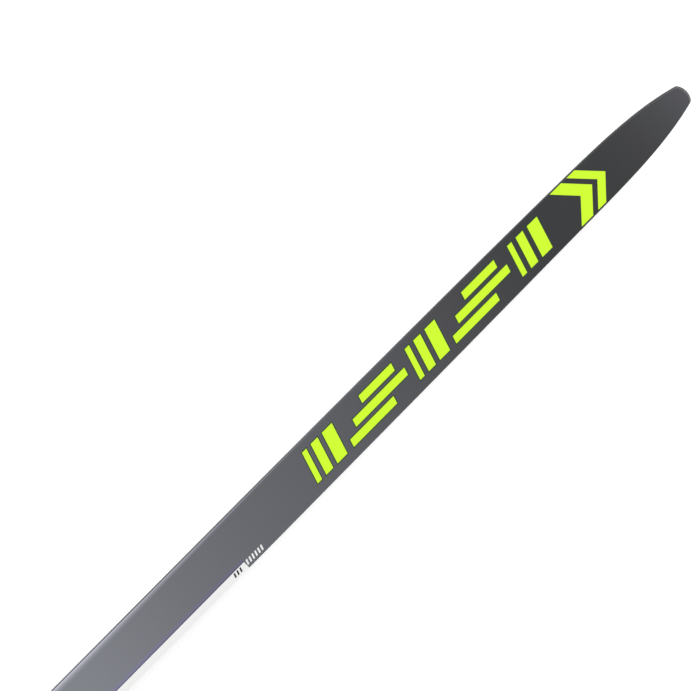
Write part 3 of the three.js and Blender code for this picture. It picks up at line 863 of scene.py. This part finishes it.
def dial_mesh():
    # (radius, height, share of the scallops) from the underside round to the sunken face
    profile = [
        (SHAFT_HOLE, dial_z[0], 0),
        (DIAL_RADIUS - 1.6, dial_z[0], 0),
        (DIAL_RADIUS - 0.9, dial_z[0] + 0.3, 0.6),
        (DIAL_RADIUS - 0.5, dial_z[0] + 0.9, 1),
        (DIAL_RADIUS - 0.5, DISC_TOP - 1.0, 1),
        (DIAL_RADIUS - 0.8, DISC_TOP - 0.45, 0.8),
        (DIAL_RADIUS - 1.3, DISC_TOP - 0.12, 0.4),
        (DIAL_RADIUS - 2.0, DISC_TOP, 0),
        (DIAL_RADIUS - 3.2, DISC_TOP - 0.05, 0),
        (DIAL_RADIUS - 3.8, DISC_TOP - 0.5, 0),
        (SHAFT_HOLE, DISC_TOP - 0.5, 0),
    ]
    sides = SCALLOPS * SCALLOP_SIDES
    bm = bmesh.new()
    rings = []
    for radius, z, share in profile:
        ring = []
        for i in range(sides):
            angle = 2 * math.pi * i / sides
            r = radius + share * SCALLOP_DEPTH * (abs(math.cos(SCALLOPS * angle / 2)) - 0.5)
            spot = (DIAL_CENTRE[0] + r * math.cos(angle), DIAL_CENTRE[1] + r * math.sin(angle), z)
            ring.append(bm.verts.new(Vector(spot) * MM))
        rings.append(ring)
    join_rings(bm, rings + rings[:1])
    bmesh.ops.recalc_face_normals(bm, faces=bm.faces)
    mesh = mesh_from(bm, "dial_disc")
    smooth(mesh, 40)
    return mesh


dial_disc = new_object("dial_disc", dial_mesh(), paint["accent"], "lock_dial")
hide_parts("dial")

WELL = 2.6  # radius of the well that the screw sits in
ARM_MOUTH = 0.35  # half of an arm's mouth at the well, as a share of the well's radius
ARM_FLARE = 3.4  # from here outwards an arm has its full width
ARM_HALF, ARM_REACH, ARM_ROUND = 2.9, 12.2, 2.2
ARM_FOOT = DISC_TOP - 0.6
SCREW_SEAT = 2.4  # the boss under the screw's head ends this far below the grip's top


def grip_arm(side):
    """One arm of the grip bar in plan, from the well outwards, its end rounded."""
    cx, cy = DIAL_CENTRE
    mouth_angles = [math.asin(ARM_MOUTH) * k for k in (1, 0.5, 0, -0.5, -1)]
    mouth = [(cx + side * WELL * math.cos(a), cy + WELL * math.sin(a)) for a in mouth_angles]
    near, far = ((cx + side * ARM_FLARE, cy + half) for half in (-ARM_HALF, ARM_HALF))
    end = []
    for k in range(-6, 7):
        angle = math.pi / 2 * (k / 6)
        out = ARM_REACH - ARM_ROUND + ARM_ROUND * math.cos(angle)
        end.append((cx + side * out, cy + ARM_HALF * math.sin(angle)))
    return mouth + [near] + end + [far]


arms = [(grip_arm(side), "z", ARM_FOOT, dial_z[1]) for side in (1, -1)]
boss = (disc(*DIAL_CENTRE, WELL - 0.1), "z", ARM_FOOT, dial_z[1] - SCREW_SEAT)
prisms("dial_grip", [*arms, boss], "accent", "lock_dial", 0.5, 3)
pointer = rectangle(dial_x[0] + 2.4, dial_x[0] + 7.4, -0.55, 0.55)
pointer_film = (pointer, "z", dial_z[1] - MARK_SUNK, dial_z[1] + 0.05)
prisms("dial_pointer", [pointer_film], "black", "lock_dial", 0)

# Nose: marks for locked and open, and leaning grip ribs on its two sides.
nose_x, nose_y, nose_z = corners("nose")
MARK, MARK_SIDES = 1.2, 24
MARK_HOLE = MARK * 0.6  # inner radius of the ring


def lock_marks():
    """A dot where the dial's pointer rests when locked, a ring where it ends when open."""
    shapes = [disc(DIAL_CENTRE[0] - DIAL_RADIUS - 3.4, 0, MARK)]
    ring_y = DIAL_RADIUS + 3.6
    for i in range(MARK_SIDES):
        a, b = (2 * math.pi * k / MARK_SIDES for k in (i, i + 1))
        piece = ((MARK, a), (MARK, b), (MARK_HOLE, b), (MARK_HOLE, a))
        shapes.append([(DIAL_CENTRE[0] + r * math.cos(t), ring_y + r * math.sin(t)) for r, t in piece])
    return [(shape, "z", nose_z[1] - MARK_SUNK, nose_z[1] + MARK_PROUD) for shape in shapes]


prisms("nose_marks", lock_marks(), "white", "toe_unit", 0)

GILLS, GILL_START = 4, 6.0  # how many on each side, and where the first starts from the rear
GILL_LEAN, GILL_WIDTH, GILL_PITCH = 2.6, 1.6, 4.6


def gills():
    low, high = nose_z[0] + 2.4, nose_z[1] - 3
    ribs = []
    for side, face in ((1, nose_y[1]), (-1, nose_y[0])):
        for i in range(GILLS):
            x = nose_x[0] + GILL_START + i * GILL_PITCH
            foot = [(x, low), (x + GILL_WIDTH, low)]
            head = [(x + GILL_WIDTH + GILL_LEAN, high), (x + GILL_LEAN, high)]
            ribs.append((foot + head, "y", face - side * 0.3, face + side * 0.45))
    return ribs


prisms("nose_gills", gills(), "housing", "toe_unit", 0.25)

# Lever: ribs for the thumb, up its slope.
lever_x, _, lever_z = corners("lever")
THUMB_RIBS, THUMB_PITCH, THUMB_RISE = 4, 1.9, 0.28
THUMB_HALF = 6.6  # half the ribs' length


def thumb_ribs():
    ribs = []
    for i in range(THUMB_RIBS):
        x = lever_x[1] - 1.4 - i * THUMB_PITCH
        z = lever_z[0] + 7.4 + i * THUMB_RISE
        outline = [(x - 0.45, z - 0.5), (x + 0.45, z - 0.5), (x + 0.3, z + 0.45), (x - 0.3, z + 0.45)]
        ribs.append((outline, "y", -THUMB_HALF, THUMB_HALF))
    return ribs


prisms("lever_ribs", thumb_ribs(), "accent", "clamp_lever", 0.12)

# Sleds: short ribs that shed snow beside the guide ridges.
toe_x, toe_y, toe_z = corners("toe_sled")
heel_x = corners("heel_sled")[0]
flex_x, _, flex_z = corners("flexor")
BED = toe_z[1] - 5.5  # the sled's bed is this far below the top of its ridges
RIB_PITCH, RIB_WIDTH, RIB_LEAN = 6.5, 1.3, 2.0
RIB_INNER, RIB_OUTER = 13.0, toe_y[1] - 2.0


def bed_ribs(name, start, end, body):
    ribs = []
    for side in (1, -1):
        x = start
        while x < end:
            inner = [(x, side * RIB_INNER), (x + RIB_WIDTH, side * RIB_INNER)]
            tip = x + RIB_LEAN
            outer = [(tip + RIB_WIDTH, side * RIB_OUTER), (tip, side * RIB_OUTER)]
            ribs.append((inner + outer, "z", BED - 0.1, BED + 0.5))
            x += RIB_PITCH
    prisms(name, ribs, "housing", body, 0.15)


bed_ribs("toe_sled_ribs", toe_x[0] + 5, flex_x[0] - 8, "toe_unit")
bed_ribs("heel_sled_ribs", heel_x[0] + 5, pad_x[0] - 6, "heel_unit")

# Flexor: raised ribs on the slope that the boot's toe presses on.
PRESS_PITCH, PRESS_HALF = 4.4, 0.8


def press_ribs():
    top, low = (flex_x[0] + 5, flex_z[1]), (flex_x[0] + 2.6, flex_z[1] - 2.9)  # ends of the slope
    side_view = [
        (low[0] - 0.4, low[1] + 0.3),
        (top[0] - 0.2, top[1] + 0.45),
        (flex_x[1] - 1.2, top[1] + 0.45),
        (flex_x[1] - 1.0, top[1] - 0.4),
        (top[0] + 0.8, top[1] - 0.4),
        (low[0] + 0.8, low[1] - 0.2),
    ]
    middles = [k * PRESS_PITCH for k in range(-3, 4)]
    return [(side_view, "y", y - PRESS_HALF, y + PRESS_HALF) for y in middles]


prisms("flexor_ribs", press_ribs(), "rubber", "toe_unit", 0.2)

# Front rail: a plain scale of ticks ahead of the sled, every fourth one longer.
rail_top = corners("front_rail")[2][1]
SCALE_TICKS, SCALE_PITCH = 9, 2.0
LONG_TICK, SHORT_TICK, SCALE_HALF = 7.0, 4.0, 0.2


def scale_ticks():
    films = []
    for i in range(SCALE_TICKS):
        x = toe_x[1] + 2 + i * SCALE_PITCH
        half = SHORT_TICK if i % 4 else LONG_TICK
        shape = rectangle(x - SCALE_HALF, x + SCALE_HALF, -half, half)
        films.append((shape, "z", rail_top - MARK_SUNK, rail_top + MARK_PROUD))
    return films


prisms("rail_scale", scale_ticks(), "white", "ski", 0)

# CAD nodes that stay as they are get their finish, by their material slot.
slots = {part["node"]: part["material_slot"] for part in frame["record"]["subparts"]}
for name, node in frame["nodes"].items():
    if not node.hide_render:
        node.data.materials.clear()
        node.data.materials.append(paint[slots[name]])

# ---- Floor, light and camera ----

FLOOR_GAP = 0.0003  # the floor lies just under the ski's two flats
WHITE = (1, 1, 1, 1)

bpy.ops.mesh.primitive_plane_add(size=14, location=(0, 0, cad_box[0][2] - FLOOR_GAP))
floor = bpy.context.object
floor.name = "floor"
ground = Shader("floor_white", (0.93, 0.93, 0.93), 0.9)
ground.set("Emission Color", WHITE)
ground.set("Emission Strength", 0.48)
floor.data.materials.append(ground.material)

world = bpy.data.worlds.new("studio")
bpy.context.scene.world = world
world.use_nodes = True
background = world.node_tree.nodes["Background"]
background.inputs["Color"].default_value = WHITE
background.inputs["Strength"].default_value = 0.78


def area_light(name, place, target, size, power):
    data = bpy.data.lights.new(name, "AREA")
    data.shape = "RECTANGLE"
    data.size, data.size_y = size
    data.energy = power
    obj = bpy.data.objects.new(name, data)
    bpy.context.scene.collection.objects.link(obj)
    obj.location = place
    obj.rotation_euler = (Vector(target) - Vector(place)).to_track_quat("-Z", "Y").to_euler()


area_light("key", place=(0.0, 1.05, 2.3), target=(0.25, 0, 0), size=(2.2, 0.3), power=14)
area_light("fill", place=(0.3, -1.6, 1.2), target=(0.3, 0, 0), size=(2.4, 0.8), power=4)

# The camera looks straight down on the front of the ski and is turned about its own axis.
camera_data = bpy.data.cameras.new("camera")
camera_data.lens = 145
camera_data.sensor_width = 36
camera = bpy.data.objects.new("camera", camera_data)
bpy.context.scene.collection.objects.link(camera)
camera.location = (0.592, 0.0499, 2.2863)
camera.rotation_euler = (0, 0, -0.7886)
bpy.context.scene.camera = camera
bpy.context.scene.view_settings.view_transform = "Standard"
